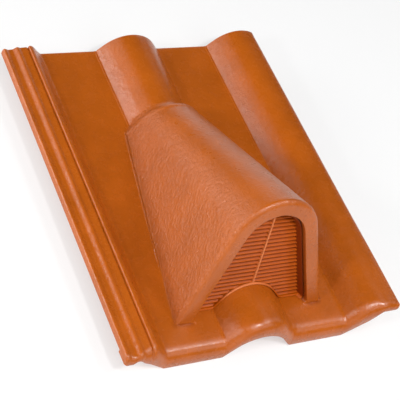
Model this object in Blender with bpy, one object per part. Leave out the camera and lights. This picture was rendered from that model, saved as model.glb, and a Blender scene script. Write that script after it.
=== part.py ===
"""Roof vent tile: an interlocking concrete roof tile with a half-cone vent hood and a plastic grille in its mouth.

Lengths are in metres. Everything is drawn in the tile's own frame: x across the roof, y up the slope from the
eave end, and z up from the flat pans. One empty then lifts it, so that the tile stands on z = 0 with the middle
of its box at x = 0, y = 0.
"""

import math

import bmesh
import bpy
from mathutils import Vector

# Tile as a whole
TILE_WIDTH = 0.332
TILE_LENGTH = 0.420
DECK_THICK = 0.0115
SKIRT_DROP = 0.0205
SKIRT_LENGTH = 0.018

# Rolls: a round top on straight flanks, a middle roll and a half roll that covers the next tile
ROLL_PITCH = 0.152
ROLL_RISE = 0.026
ROLL_RADIUS = 0.042
ROLL_SLOPE = math.radians(50.0)
ROLL_THICK = 0.012
ROLL_FRONT_THICK = 0.0185
ROLL_FRONT_RADIUS = 0.038
COVER_LIP = 0.019
COVER_CHANNEL = 0.033
COVER_RAMP = 0.0125
COVER_BEVEL = 0.0037
COVER_THICK = 0.0095
COVER_FRONT_THICK = 0.0107
COVER_EDGE_THICK = 0.0045

# Lock along the left edge: ribs on a shelf that rises from the first pan
LOCK_WIDTH = 0.050
LOCK_EDGE_TOP = 0.0104
LOCK_SHELF = 0.0225
SHELF_SKIRT = -0.0002
SHELF_UNDER = 0.0032
SHELF_HOLLOW = 0.0160
GROOVE_WIDTH = 0.0130
GROOVE_DEPTH = 0.0040
GROOVE_FAR = 0.7
GROOVE_NEAR = 0.4
SHELF_END_DOWN = 0.05
SHELF_BEND_OUT = 0.35
SHELF_BEND_DOWN = 0.33
RIB_SETBACK = 0.0025
RIB_PITCH = 0.0150
RIB_HALF = 0.0045
RIB_CRESTS = (0.0115, 0.0131, 0.0143)
RIB_FLOORS = (0.0096, 0.0116, 0.0114)
RIB_SHOULDER_OUT = 0.4
RIB_SHOULDER_UP = 0.85
SLOPE_END_OUT = 0.9
SLOPE_END_UP = 0.05

# Edges: a large round front edge above, and small worn edges below it and at the head
NOSE_RADIUS = 0.0145
NOSE_SHARE = 0.70
SKIRT_EDGE = 0.0012
SKIRT_EDGE_SHARE = 0.2
HEAD_EDGE = 0.001

# Hanging nibs under the head end
NIB_WIDTH = 0.040
NIB_DEPTH = 0.018
NIB_FROM_HEAD = 0.012

# Vent hood: sections with straight flanks and a round top, from the mouth to the tail
MOUTH_Y = 0.0355
MOUTH_LEAN = math.radians(15.0)
MOUTH_HALF = 0.0915
MOUTH_HEIGHT = 0.144
MOUTH_ROUND = 0.056
HOOD_RUN = 0.2525
HOOD_SHIFT = 0.0012
TAIL_HALF = 0.045
TAIL_HEIGHT = 0.0455
TAIL_ROUND = 0.042
TAIL_CAP = 0.019
TAIL_BURY = 0.68
TAIL_NARROWING = 0.6
HOOD_CROWN = 0.0025
HOOD_WALL = 0.0182
RIM_ROUND = 0.006
FOOT_RADIUS_MOUTH = 0.0045
FOOT_RADIUS_TAIL = 0.0065
FOOT_STEP = 0.0008
TOE_LENGTH = 0.007
TOE_SHARE = 0.2
INNER_FOOT_RADIUS = 0.004
CAVITY_END = 0.020

# Air duct through the deck, inside the hood
DUCT_START = 0.070
DUCT_LENGTH = 0.115
DUCT_CORNER = 0.012
DUCT_LEDGE = 0.002

# Grille in the mouth: a plate of slats with a slanting flange round its sides and top
GRILLE_SETBACK = 0.0133
GRILLE_THICK = 0.006
FLANGE_DEPTH = 0.0025
FLANGE_WIDTH = 0.0026
FLANGE_LIP = 0.0010
GRILLE_SILL = 0.003
GRILLE_RIB = 0.0018
SLAT_PITCH = 0.00515
SLOT_HEIGHT = 0.0018
SLOT_TILT = math.radians(20.0)
SLOT_MARGIN = 0.0006
FIT_GAP = 0.0004

# Fineness of the round shapes, and how far a cutter runs past what it cuts
ROLL_STEPS = 12
NOSE_STEPS = 6
RIM_STEPS = 4
FOOT_STEPS = 4
INNER_FOOT_STEPS = 3
TOP_STEPS = 12
TAIL_STEPS = 6
DUCT_STEPS = 4
LENGTH_STEPS = 4
OVERCUT = 0.020
SMOOTH_UNDER = math.radians(35)

LEFT_EDGE = -TILE_WIDTH / 2
RIGHT_EDGE = TILE_WIDTH / 2
COVER_ROLL_X = RIGHT_EDGE - COVER_LIP
ROLL_X = COVER_ROLL_X - ROLL_PITCH
HOOD_X = ROLL_X + HOOD_SHIFT
LOCK_FOOT = LEFT_EDGE + LOCK_WIDTH
SINK = DECK_THICK / 2
HOLLOW_SINK = DECK_THICK * 0.75
TAIL_Y = MOUTH_Y + HOOD_RUN
GRILLE_FRONT = GRILLE_SETBACK / HOOD_RUN
GRILLE_BACK = (GRILLE_SETBACK + GRILLE_THICK) / HOOD_RUN
FLANGE_FRONT = (GRILLE_SETBACK - FLANGE_DEPTH) / HOOD_RUN


def mix(start, end, share):
    return start + (end - start) * share


# Outlines across the tile
def roll_half_width(rise, radius):
    """Half the width of a roll at its foot."""
    flank_height = rise - radius * (1 - math.cos(ROLL_SLOPE))
    return radius * math.sin(ROLL_SLOPE) + flank_height / math.tan(ROLL_SLOPE)


def roll_arc(centre, apex, radius, first, last):
    """Points of a roll's round top, between two angles from the upright."""
    points = []
    for step in range(ROLL_STEPS + 1):
        angle = mix(first, last, step / ROLL_STEPS)
        points.append((centre + radius * math.sin(angle), apex - radius * (1 - math.cos(angle))))
    return points


def whole_roll(centre, foot_z, apex, radius):
    """A roll from its left foot to its right foot."""
    half = roll_half_width(apex - foot_z, radius)
    arc = roll_arc(centre, apex, radius, -ROLL_SLOPE, ROLL_SLOPE)
    return [(centre - half, foot_z), *arc, (centre + half, foot_z)]


def rib_half_points(centre, crest, foot, side):
    """One side of a small rounded rib, from its crest to its foot. Side is -1 for left and 1 for right."""
    shoulder = (centre + side * RIB_HALF * RIB_SHOULDER_OUT, mix(foot, crest, RIB_SHOULDER_UP))
    return [shoulder, (centre + side * RIB_HALF, foot)]


def lock_top():
    """The lock's ribs and the slope that runs from the last rib down to the first pan."""
    centres = [LEFT_EDGE + RIB_SETBACK + RIB_PITCH * index for index in range(len(RIB_CRESTS))]
    points = [(LEFT_EDGE, LOCK_EDGE_TOP)]
    for index, (centre, crest) in enumerate(zip(centres, RIB_CRESTS)):
        if index > 0:
            points += reversed(rib_half_points(centre, crest, RIB_FLOORS[index - 1], -1))
        points.append((centre, crest))
        points += rib_half_points(centre, crest, RIB_FLOORS[index], 1)
    slope_end = (mix(points[-1][0], LOCK_FOOT, SLOPE_END_OUT), RIB_CRESTS[-1] * SLOPE_END_UP)
    return [*points, slope_end, (LOCK_FOOT, 0.0)]


def top_profile():
    """The upper side of the tile from the lock's edge to the edge of the cover roll."""
    cover_foot = COVER_ROLL_X - roll_half_width(ROLL_RISE, ROLL_RADIUS)
    cover_end = math.asin(COVER_LIP / ROLL_RADIUS)
    cover = roll_arc(COVER_ROLL_X, ROLL_RISE, ROLL_RADIUS, -ROLL_SLOPE, cover_end)
    return [*lock_top(), *whole_roll(ROLL_X, 0.0, ROLL_RISE, ROLL_RADIUS), (cover_foot, 0.0), *cover]


def skirt_profile():
    """The lower edge of the front skirt, in the same order as the top profile."""
    shelf_end = LEFT_EDGE + LOCK_SHELF
    lock = [
        (LEFT_EDGE, SHELF_SKIRT),
        (shelf_end - GROOVE_WIDTH, SHELF_SKIRT),
        (shelf_end - GROOVE_WIDTH * GROOVE_FAR, SHELF_SKIRT + GROOVE_DEPTH),
        (shelf_end - GROOVE_WIDTH * GROOVE_NEAR, SHELF_SKIRT + GROOVE_DEPTH),
        (shelf_end, mix(SHELF_SKIRT, -SKIRT_DROP, SHELF_END_DOWN)),
        (mix(shelf_end, LOCK_FOOT, SHELF_BEND_OUT), mix(SHELF_SKIRT, -SKIRT_DROP, SHELF_BEND_DOWN)),
        (LOCK_FOOT, -SKIRT_DROP),
    ]
    arch = whole_roll(ROLL_X, -SKIRT_DROP, ROLL_RISE - ROLL_FRONT_THICK, ROLL_FRONT_RADIUS)
    cover_foot = COVER_ROLL_X - roll_half_width(ROLL_RISE, ROLL_RADIUS)
    channel = RIGHT_EDGE - COVER_CHANNEL
    cover_z = ROLL_RISE - COVER_FRONT_THICK
    cover = [
        (cover_foot, -SKIRT_DROP),
        (channel, SHELF_SKIRT),
        (channel + COVER_RAMP, cover_z),
        (RIGHT_EDGE - COVER_BEVEL, cover_z),
        (RIGHT_EDGE, top_profile()[-1][1] - COVER_EDGE_THICK),
    ]
    return [*lock, *arch, *cover]


def height_at(profile, x):
    """Height of a profile at one place across the tile."""
    for (x0, z0), (x1, z1) in zip(profile, profile[1:]):
        if x0 <= x <= x1 and x1 > x0:
            return mix(z0, z1, (x - x0) / (x1 - x0))
    return profile[-1][1]


def place_of(profile, height):
    """The first place across the tile, from the left, where a profile falls to a height."""
    for (x0, z0), (x1, z1) in zip(profile, profile[1:]):
        if z1 <= height < z0:
            return mix(x0, x1, (height - z0) / (z1 - z0))
    return profile[0][0]


def underside_outline():
    """Outline of the space under the deck behind the skirt: pans, both hollow rolls and the cover channel."""
    left = place_of(skirt_profile(), -DECK_THICK) + FIT_GAP
    hollow = ROLL_RISE - ROLL_THICK, ROLL_RADIUS - ROLL_THICK
    channel = RIGHT_EDGE - COVER_CHANNEL
    cover_z = ROLL_RISE - COVER_THICK
    cover_roll = whole_roll(COVER_ROLL_X, -DECK_THICK, *hollow)
    cover = [point for point in cover_roll if point[0] < channel - RIB_HALF]
    far_right = RIGHT_EDGE + OVERCUT
    below = -SKIRT_DROP - OVERCUT
    middle = [(left, -DECK_THICK), *whole_roll(ROLL_X, -DECK_THICK, *hollow), *cover]
    return [(left, below), *middle, (channel, cover_z), (far_right, cover_z), (far_right, below)]


# Making objects
def collection(name):
    made = bpy.data.collections.new(name)
    bpy.context.scene.collection.children.link(made)
    return made


def add_object(name, mesh, group, frame):
    made = bpy.data.objects.new(name, mesh)
    group.objects.link(made)
    made.parent = frame
    return made


def mesh_from(shape, name):
    mesh = bpy.data.meshes.new(name)
    shape.to_mesh(mesh)
    shape.free()
    return mesh


def loft(name, rings, group, frame):
    """A closed solid through rings of the same number of points, with a ladder of faces across each end.

    A ring runs out along one side and back along the other, so that its first and last points face each other.
    """
    shape = bmesh.new()
    rows = [[shape.verts.new(point) for point in ring] for ring in rings]
    count = len(rows[0])
    for row, next_row in zip(rows, rows[1:]):
        for index in range(count):
            after = (index + 1) % count
            shape.faces.new((row[index], row[after], next_row[after], next_row[index]))
    for row in (rows[0], rows[-1]):
        for index in range((count - 1) // 2):
            corners = [row[index], row[index + 1], row[-2 - index], row[-1 - index]]
            shape.faces.new(dict.fromkeys(corners))
    bmesh.ops.recalc_face_normals(shape, faces=shape.faces)
    return add_object(name, mesh_from(shape, name), group, frame)


def prism(name, outline, y_from, y_to, group, frame):
    """A flat outline in x and z, extruded along y."""
    curve = bpy.data.curves.new(name, "CURVE")
    curve.dimensions = "2D"
    curve.fill_mode = "BOTH"
    curve.extrude = (y_to - y_from) / 2
    spline = curve.splines.new("POLY")
    spline.points.add(len(outline) - 1)
    for point, (x, z) in zip(spline.points, outline):
        point.co = (x, z, 0.0, 1.0)
    spline.use_cyclic_u = True
    flat = bpy.data.objects.new(name + "_outline", curve)
    bpy.context.scene.collection.objects.link(flat)
    flat.rotation_euler.x = math.pi / 2
    flat.location.y = (y_from + y_to) / 2
    bpy.context.view_layer.update()
    mesh = bpy.data.meshes.new_from_object(flat.evaluated_get(bpy.context.evaluated_depsgraph_get()))
    mesh.transform(flat.matrix_world)
    bpy.data.objects.remove(flat)
    shape = bmesh.new()
    shape.from_mesh(mesh)
    bpy.data.meshes.remove(mesh)
    bmesh.ops.remove_doubles(shape, verts=shape.verts, dist=0.00001)
    bmesh.ops.recalc_face_normals(shape, faces=shape.faces)
    return add_object(name, mesh_from(shape, name), group, frame)


def block(name, low, high, group, frame):
    """A plain box between two corners."""
    shape = bmesh.new()
    bmesh.ops.create_cube(shape, size=1.0)
    for vert in shape.verts:
        vert.co = Vector(mix(low[axis], high[axis], vert.co[axis] + 0.5) for axis in range(3))
    return add_object(name, mesh_from(shape, name), group, frame)


def boolean(target, operation, other):
    modifier = target.modifiers.new(f"{operation.lower()} {other.name}", "BOOLEAN")
    modifier.operation = operation
    modifier.solver = "EXACT"
    modifier.object = other
    other.hide_render = True
    other.display_type = "WIRE"


def material(name, colour, roughness):
    made = bpy.data.materials.new(name)
    made.use_nodes = True
    shader = made.node_tree.nodes["Principled BSDF"]
    shader.inputs["Base Color"].default_value = (*colour, 1.0)
    shader.inputs["Roughness"].default_value = roughness
    shader.inputs["Metallic"].default_value = 0.0
    return made


# Deck, skirt and rounded front edge
def worn(distance, radius):
    """How far a rounded edge stands back at a distance from the face it rounds into."""
    short = max(0.0, radius - distance)
    return radius - math.sqrt(radius * radius - short * short)


def deck_rings():
    """Rings of the tile's solid blank: the front face, the steps of its rounded edge, and the head end."""
    top = top_profile()
    bottom = skirt_profile()
    places = sorted({round(x, 5) for x, z in top + bottom})
    columns = []
    for x in places:
        high, low = height_at(top, x), height_at(bottom, x)
        nose = min(NOSE_RADIUS, NOSE_SHARE * (high - low))
        edge = min(SKIRT_EDGE, SKIRT_EDGE_SHARE * (high - low))
        columns.append((x, high, low, nose, edge))
    rings = []
    for step in range(NOSE_STEPS + 1):
        angle = math.pi / 2 * step / NOSE_STEPS
        back, down = 1 - math.cos(angle), 1 - math.sin(angle)
        lower_y = NOSE_RADIUS * back
        upper = [(x, nose * back, high - nose * down) for x, high, low, nose, edge in columns]
        lower = [(x, lower_y, low + worn(lower_y, edge)) for x, high, low, nose, edge in columns]
        rings.append(upper + lower[::-1])
    for y, drop in ((TILE_LENGTH - HEAD_EDGE, 0.0), (TILE_LENGTH, HEAD_EDGE)):
        upper = [(x, y, high - drop) for x, high, low, nose, edge in columns]
        lower = [(x, y, low) for x, high, low, nose, edge in columns]
        rings.append(upper + lower[::-1])
    return rings


def cut_underside(tile, cutters, frame):
    """Hollows the blank from below and thins the lock's shelf, which leaves the skirt along the front."""
    end = TILE_LENGTH + OVERCUT
    under = prism("underside", underside_outline(), SKIRT_LENGTH, end, cutters, frame)
    boolean(tile, "DIFFERENCE", under)
    low = (LEFT_EDGE - OVERCUT, SKIRT_LENGTH, -SKIRT_DROP)
    high = (LEFT_EDGE + SHELF_HOLLOW, end, SHELF_UNDER)
    boolean(tile, "DIFFERENCE", block("under_shelf", low, high, cutters, frame))


def add_nibs(tile, cutters, frame):
    """The two nibs that hook over the batten, as low as the skirt."""
    roll_foot = ROLL_X - roll_half_width(ROLL_RISE, ROLL_RADIUS)
    middles = {"nib_left": mix(LOCK_FOOT, roll_foot, 0.5), "nib_right": mix(ROLL_X, COVER_ROLL_X, 0.5)}
    back = TILE_LENGTH - NIB_FROM_HEAD
    for name, x in middles.items():
        low = (x - NIB_WIDTH / 2, back - NIB_DEPTH, -SKIRT_DROP)
        high = (x + NIB_WIDTH / 2, back, -SINK)
        boolean(tile, "UNION", block(name, low, high, cutters, frame))


# Hood sections
def flank_lean(half, height, radius):
    """Angle from the upright of the straight flank that runs from the foot and touches the round top."""
    centre = height - radius
    return math.atan2(half, centre) - math.asin(radius / math.hypot(half, centre))


def top_points(height, radius, lean):
    """The round top of a section, from the end of its straight flank to its crest."""
    points = []
    for step in range(TOP_STEPS + 1):
        angle = mix(lean, math.pi / 2, step / TOP_STEPS)
        points.append((radius * math.cos(angle), height - radius * (1 - math.sin(angle))))
    return points


def outer_half(half, height, radius, foot_radius):
    """One half of an outer section, from under the small step at its flared foot to its crest."""
    lean = flank_lean(half, height, radius)
    foot_x = half + foot_radius * (1 / math.cos(lean) - math.tan(lean))
    points = [(foot_x, -SINK)]
    for step in range(FOOT_STEPS + 1):
        angle = mix(-math.pi / 2, lean - math.pi, step / FOOT_STEPS)
        rise = FOOT_STEP + foot_radius * (1 + math.sin(angle))
        points.append((foot_x + foot_radius * math.cos(angle), rise))
    return points + top_points(height, radius, lean)


def hollow_half(half, height, radius):
    """One half of a section of the hollow, or of what fits in it, with a rounded corner at its foot."""
    lean = flank_lean(half, height, radius)
    foot_x = half - INNER_FOOT_RADIUS * (1 / math.cos(lean) + math.tan(lean))
    points = [(foot_x, -HOLLOW_SINK)]
    for step in range(INNER_FOOT_STEPS + 1):
        angle = mix(-math.pi / 2, lean, step / INNER_FOOT_STEPS)
        rise = INNER_FOOT_RADIUS * (1 + math.sin(angle))
        points.append((foot_x + INNER_FOOT_RADIUS * math.cos(angle), rise))
    return points + top_points(height, radius, lean)


def hood_ring(half_points, share, y_extra=0.0):
    """Both halves of a section, set in its leaning plane at a share of the way from mouth to tail."""
    base_y = mix(MOUTH_Y, TAIL_Y, share) + y_extra
    lean = math.tan(MOUTH_LEAN) * (1 - share)
    whole = half_points + [(-x, z) for x, z in reversed(half_points[:-1])]
    return [(HOOD_X + x, base_y + lean * z, z) for x, z in whole]


def hood_size(share, inset=0.0):
    """Half width, height and top radius at a share of the way from mouth to tail, or a stated inset within."""
    crown = HOOD_CROWN * 4 * share * (1 - share)
    half = mix(MOUTH_HALF, TAIL_HALF, share)
    height = mix(MOUTH_HEIGHT, TAIL_HEIGHT, share) + crown
    radius = mix(MOUTH_ROUND, TAIL_ROUND, share)
    lean = flank_lean(half, height, radius)
    return half - inset / math.cos(lean), height - inset, radius - inset


def foot_radius_at(distance):
    """The flare at the foot, which shrinks to the tail and dies out round the toe beside the mouth."""
    toe = min(1.0, distance / (RIM_ROUND + TOE_LENGTH))
    full = mix(FOOT_RADIUS_MOUTH, FOOT_RADIUS_TAIL, distance / HOOD_RUN)
    return full * mix(TOE_SHARE, 1.0, math.sin(math.pi / 2 * toe))


def outer_rings():
    """Sections of the outside: the rounded rim, the toe, the long cone, and the round tail that sinks in."""
    places = []
    for step in range(RIM_STEPS + 1):
        angle = math.pi / 2 * step / RIM_STEPS
        places.append((RIM_ROUND * (1 - math.cos(angle)), RIM_ROUND * (1 - math.sin(angle))))
    toe_end = RIM_ROUND + TOE_LENGTH
    places += [(RIM_ROUND + TOE_LENGTH / 2, 0.0), (toe_end, 0.0)]
    places += [(mix(toe_end, HOOD_RUN, step / LENGTH_STEPS), 0.0) for step in range(1, LENGTH_STEPS + 1)]
    rings = []
    for distance, inset in places:
        share = distance / HOOD_RUN
        rings.append(hood_ring(outer_half(*hood_size(share, inset), foot_radius_at(distance)), share))
    sweep = math.acos(TAIL_BURY * ROLL_RISE / TAIL_HEIGHT)
    for step in range(1, TAIL_STEPS + 1):
        angle = sweep * step / TAIL_STEPS
        low = math.cos(angle)
        narrow = low**TAIL_NARROWING
        foot, *rest = outer_half(*hood_size(1.0), foot_radius_at(HOOD_RUN))
        shrunk = [(foot[0] * narrow, foot[1])] + [(x * narrow, z * low) for x, z in rest]
        rings.append(hood_ring(shrunk, 1.0, TAIL_CAP * math.sin(angle)))
    return rings


def hollow_ring(share, inset):
    return hood_ring(hollow_half(*hood_size(share, HOOD_WALL + inset)), share)


def cavity_rings():
    """The hood's hollow, open through the mouth and down to the deck."""
    end = 1 - CAVITY_END / HOOD_RUN
    shares = [-OVERCUT / HOOD_RUN, FLANGE_FRONT, GRILLE_FRONT, GRILLE_BACK]
    shares += [mix(GRILLE_BACK, end, step / LENGTH_STEPS) for step in range(1, LENGTH_STEPS + 1)]
    return [hollow_ring(share, 0.0) for share in shares]


def add_hood(tile, cutters, frame):
    shell = loft("hood_shell", outer_rings(), cutters, frame)
    boolean(shell, "DIFFERENCE", loft("hood_cavity", cavity_rings(), cutters, frame))
    boolean(tile, "UNION", shell)


def cut_duct(tile, cutters, frame):
    """The opening in the deck that lets air up into the hood, as wide as the hollow leaves at its far end."""
    far_share = (DUCT_START + DUCT_LENGTH) / HOOD_RUN
    half, height, radius = hood_size(far_share, HOOD_WALL)
    duct_half = half - ROLL_RISE * math.tan(flank_lean(half, height, radius)) - DUCT_LEDGE
    near_y = MOUTH_Y + DUCT_START
    low = (HOOD_X - duct_half, near_y, -SKIRT_DROP - OVERCUT)
    high = (HOOD_X + duct_half, near_y + DUCT_LENGTH, ROLL_RISE + DUCT_LEDGE)
    duct = block("duct", low, high, cutters, frame)
    shape = bmesh.new()
    shape.from_mesh(duct.data)
    upright = [edge for edge in shape.edges if abs(edge.verts[0].co.z - edge.verts[1].co.z) > SINK]
    bmesh.ops.bevel(shape, geom=upright, offset=DUCT_CORNER, segments=DUCT_STEPS, profile=0.5, affect="EDGES")
    shape.to_mesh(duct.data)
    shape.free()
    boolean(tile, "DIFFERENCE", duct)


def build_tile(parts, cutters, frame):
    tile = loft("vent_tile", deck_rings(), parts, frame)
    add_hood(tile, cutters, frame)
    cut_underside(tile, cutters, frame)
    add_nibs(tile, cutters, frame)
    cut_duct(tile, cutters, frame)
    return tile


# Grille
def deck_cutter(name, gap, cutters, frame):
    """A solid up to the deck's upper side plus a gap, to trim what stands on the deck."""
    raised = [(x, z + gap) for x, z in top_profile()]
    outline = [(LEFT_EDGE, -SKIRT_DROP), *raised, (RIGHT_EDGE, -SKIRT_DROP)]
    return prism(name, outline, 0.0, TAIL_Y, cutters, frame)


def slot_cutters(cutters, frame):
    """Flat slots, one above the other, that slope down towards the outside."""
    shape = bmesh.new()
    middle = mix(GRILLE_FRONT, GRILLE_BACK, 0.5)
    lean = math.tan(MOUTH_LEAN) * (1 - middle)
    reach = GRILLE_THICK + OVERCUT
    level = GRILLE_SILL + SLAT_PITCH / 2
    while level < MOUTH_HEIGHT - HOOD_WALL - FLANGE_WIDTH:
        centre = Vector((HOOD_X, mix(MOUTH_Y, TAIL_Y, middle) + lean * level, level))
        for vert in bmesh.ops.create_cube(shape, size=1.0)["verts"]:
            x, y, z = vert.co
            slope = y * reach * math.tan(SLOT_TILT)
            vert.co = centre + Vector((x * MOUTH_HALF * 2, y * reach, z * SLOT_HEIGHT + slope))
        level += SLAT_PITCH
    return add_object("grille_slots", mesh_from(shape, "grille_slots"), cutters, frame)


def build_grille(parts, cutters, frame):
    plate = [hollow_ring(share, FIT_GAP) for share in (FLANGE_FRONT, GRILLE_FRONT, GRILLE_BACK)]
    grille = loft("vent_grille", plate, parts, frame)
    boolean(grille, "DIFFERENCE", deck_cutter("deck_under_grille", FIT_GAP, cutters, frame))

    outside = FLANGE_FRONT - OVERCUT / HOOD_RUN
    tray = ((outside, FLANGE_LIP), (FLANGE_FRONT, FLANGE_LIP), (GRILLE_FRONT, FLANGE_WIDTH))
    recess = [hollow_ring(share, FIT_GAP + inset) for share, inset in tray]
    boolean(grille, "DIFFERENCE", loft("grille_tray", recess, cutters, frame))

    ends = (GRILLE_FRONT - OVERCUT / HOOD_RUN, GRILLE_BACK + OVERCUT / HOOD_RUN)
    opening = [hollow_ring(share, FIT_GAP + FLANGE_WIDTH + SLOT_MARGIN) for share in ends]
    window = loft("grille_window", opening, cutters, frame)
    boolean(window, "DIFFERENCE", deck_cutter("deck_under_window", GRILLE_SILL, cutters, frame))
    low = (HOOD_X - GRILLE_RIB / 2, 0.0, -SKIRT_DROP)
    high = (HOOD_X + GRILLE_RIB / 2, TAIL_Y, MOUTH_HEIGHT)
    boolean(window, "DIFFERENCE", block("grille_rib", low, high, cutters, frame))
    slots = slot_cutters(cutters, frame)
    boolean(slots, "INTERSECT", window)
    boolean(grille, "DIFFERENCE", slots)
    return grille


def main():
    for old in list(bpy.data.objects):
        bpy.data.objects.remove(old, do_unlink=True)
    parts = collection("roof_vent_tile")
    cutters = collection("cutters")
    frame = bpy.data.objects.new("tile_frame", None)
    frame.location = (0.0, -TILE_LENGTH / 2, SKIRT_DROP)
    parts.objects.link(frame)

    tile = build_tile(parts, cutters, frame)
    tile.data.materials.append(material("coated_concrete", (0.42, 0.095, 0.016), 0.5))
    grille = build_grille(parts, cutters, frame)
    grille.data.materials.append(material("moulded_plastic", (0.45, 0.10, 0.02), 0.45))
    for made in (tile, grille):
        made.data.shade_smooth()
        made.data.set_sharp_from_angle(angle=SMOOTH_UNDER)


main()
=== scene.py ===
# %% [markdown]
# # A roof vent tile with a grille in its hood
#
# The real object is an interlocking concrete roof tile. A half-cone hood was cast together with it, and the
# whole was sprayed with a satin orange coating. A moulded plastic grille closes the hood's mouth.
#
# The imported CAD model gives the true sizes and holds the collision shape. This script builds the pieces
# that are seen: finer, with worn edges, soft joints and the grain of the cast. Both share one frame, so
# nothing has to be fitted by hand.

# %% Load the CAD frame and keep its box
import math

import bmesh
import bpy
import numpy as np
from mathutils import Matrix, Quaternion, Vector


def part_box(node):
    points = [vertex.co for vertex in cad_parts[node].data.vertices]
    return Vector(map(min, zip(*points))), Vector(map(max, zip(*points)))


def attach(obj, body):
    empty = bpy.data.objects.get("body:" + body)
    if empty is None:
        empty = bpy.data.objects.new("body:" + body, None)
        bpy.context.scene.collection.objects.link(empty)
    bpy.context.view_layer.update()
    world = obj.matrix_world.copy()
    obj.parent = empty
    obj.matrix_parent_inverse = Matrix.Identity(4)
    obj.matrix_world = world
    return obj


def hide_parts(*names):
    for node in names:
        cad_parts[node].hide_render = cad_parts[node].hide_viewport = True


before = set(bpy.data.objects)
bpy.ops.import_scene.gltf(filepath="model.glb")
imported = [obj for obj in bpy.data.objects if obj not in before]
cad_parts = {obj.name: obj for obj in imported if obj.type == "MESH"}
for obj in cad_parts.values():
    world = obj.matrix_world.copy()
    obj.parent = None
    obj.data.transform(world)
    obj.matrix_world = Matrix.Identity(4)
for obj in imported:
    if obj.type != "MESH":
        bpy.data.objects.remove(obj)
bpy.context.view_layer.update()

# %% [markdown]
# All lengths below are millimetres in the tile's own frame: x across the roof, y up the slope from the eave
# end, z up from the flat pans. The width and the length are read from the CAD frame. One function moves
# finished points into the shared frame and into metres, so that every object can sit at the origin, unturned
# and unscaled.

# %% Millimetres in the tile's frame, metres in the shared frame
MM = 0.001
cad_low, cad_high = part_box("vent_tile")
TILE_WIDTH = round((cad_high[0] - cad_low[0]) / MM, 1)
TILE_LENGTH = round((cad_high[1] - cad_low[1]) / MM, 1)
SKIRT_DROP = 20.5
FRAME_SHIFT = np.array([0.0, -TILE_LENGTH / 2, SKIRT_DROP])


def to_frame(points):
    """Points in the tile's frame, in millimetres, as points in the shared frame, in metres."""
    return (np.asarray(points, float) + FRAME_SHIFT) * MM


print("tile:", TILE_WIDTH, "by", TILE_LENGTH, "mm")


# %% Small helpers for numbers
def mix(start, end, share):
    return start + (end - start) * share


def spaced(start, end, step):
    """Even places from start to just before end, about one step apart."""
    return list(np.linspace(start, end, max(2, round((end - start) / step)), endpoint=False))


def quarter_turn(steps):
    return [math.pi / 2 * step / steps for step in range(steps + 1)]


def arc(centre_x, centre_y, radius, start, end, steps):
    """Points on a part of a circle."""
    angles = [mix(start, end, step / steps) for step in range(steps + 1)]
    return [(centre_x + radius * math.cos(angle), centre_y + radius * math.sin(angle)) for angle in angles]


def worn(distance, radius):
    """How far a rounded edge stands back, at a distance from the face that it rounds into."""
    short = np.maximum(0.0, radius - distance)
    return radius - np.sqrt(radius * radius - short * short)


def within(values, low, high):
    return (values > low) & (values < high)


# %% Small helpers for meshes
def add_object(name, data):
    made = bpy.data.objects.new(name, data)
    bpy.context.scene.collection.objects.link(made)
    return made


def add_mesh(name, points, faces):
    """An object whose mesh holds these points and faces, with the faces turned outwards."""
    mesh = bpy.data.meshes.new(name)
    mesh.from_pydata(to_frame(points).tolist(), [], faces)
    shape = bmesh.new()
    shape.from_mesh(mesh)
    bmesh.ops.recalc_face_normals(shape, faces=shape.faces)
    shape.to_mesh(mesh)
    shape.free()
    return add_object(name, mesh)


def loft(name, rings):
    """A closed solid through rings of equal count. Each ring goes out along one side and back along the
    other, so that a ladder of faces closes each end."""
    rings = [np.asarray(ring, float) for ring in rings]
    count = len(rings[0])
    faces = []
    for row in range(len(rings) - 1):
        near, far = row * count, (row + 1) * count
        for index in range(count):
            after = (index + 1) % count
            faces.append((near + index, near + after, far + after, far + index))
    for first in (0, (len(rings) - 1) * count):
        for index in range((count - 1) // 2):
            back = count - 1 - index
            ends = (first + index, first + index + 1, first + back - 1, first + back)
            faces.append(tuple(dict.fromkeys(ends)))
    return add_mesh(name, np.concatenate(rings), faces)


def prism(name, outline, start, end):
    """A solid with one outline of (x, z) points, running along y."""
    outline = np.asarray(outline, float)
    return loft(name, [np.insert(outline, 1, y, axis=1) for y in (start, end)])


def block(name, low, high):
    """A plain box, used only to cut or to add."""
    corners = [(x, y, z) for x in (low[0], high[0]) for y in (low[1], high[1]) for z in (low[2], high[2])]
    faces = [(0, 1, 3, 2), (4, 6, 7, 5), (0, 4, 5, 1), (2, 3, 7, 6), (0, 2, 6, 4), (1, 5, 7, 3)]
    return add_mesh(name, corners, faces)


def keep_evaluated(target):
    """Keeps what an object's modifiers make of its mesh as a plain mesh, and removes them."""
    graph = bpy.context.evaluated_depsgraph_get()
    result = bpy.data.meshes.new_from_object(target.evaluated_get(graph))
    target.modifiers.clear()
    old, target.data = target.data, result
    bpy.data.meshes.remove(old)
    result.name = target.name
    return result


def combine(target, steps):
    """Runs Booleans in order, leaves a plain mesh without materials, and removes the helpers."""
    for operation, other in steps:
        modifier = target.modifiers.new(operation.lower(), "BOOLEAN")
        modifier.operation = operation
        modifier.solver = "MANIFOLD"
        modifier.object = other
    result = keep_evaluated(target)
    if not result.polygons:
        raise RuntimeError(f"the Booleans left nothing of {target.name}")
    result.materials.clear()
    for _operation, other in steps:
        bpy.data.objects.remove(other)


def mesh_points(mesh):
    """A mesh's points in the tile's frame, in millimetres."""
    points = np.zeros(len(mesh.vertices) * 3)
    mesh.vertices.foreach_get("co", points)
    return points.reshape(-1, 3) / MM - FRAME_SHIFT


def store(mesh, name, values):
    """Keeps one value for each point, for a node tree to read."""
    attribute = mesh.attributes.new(name, "FLOAT", "POINT")
    attribute.data.foreach_set("value", np.asarray(values, np.float32))


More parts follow.
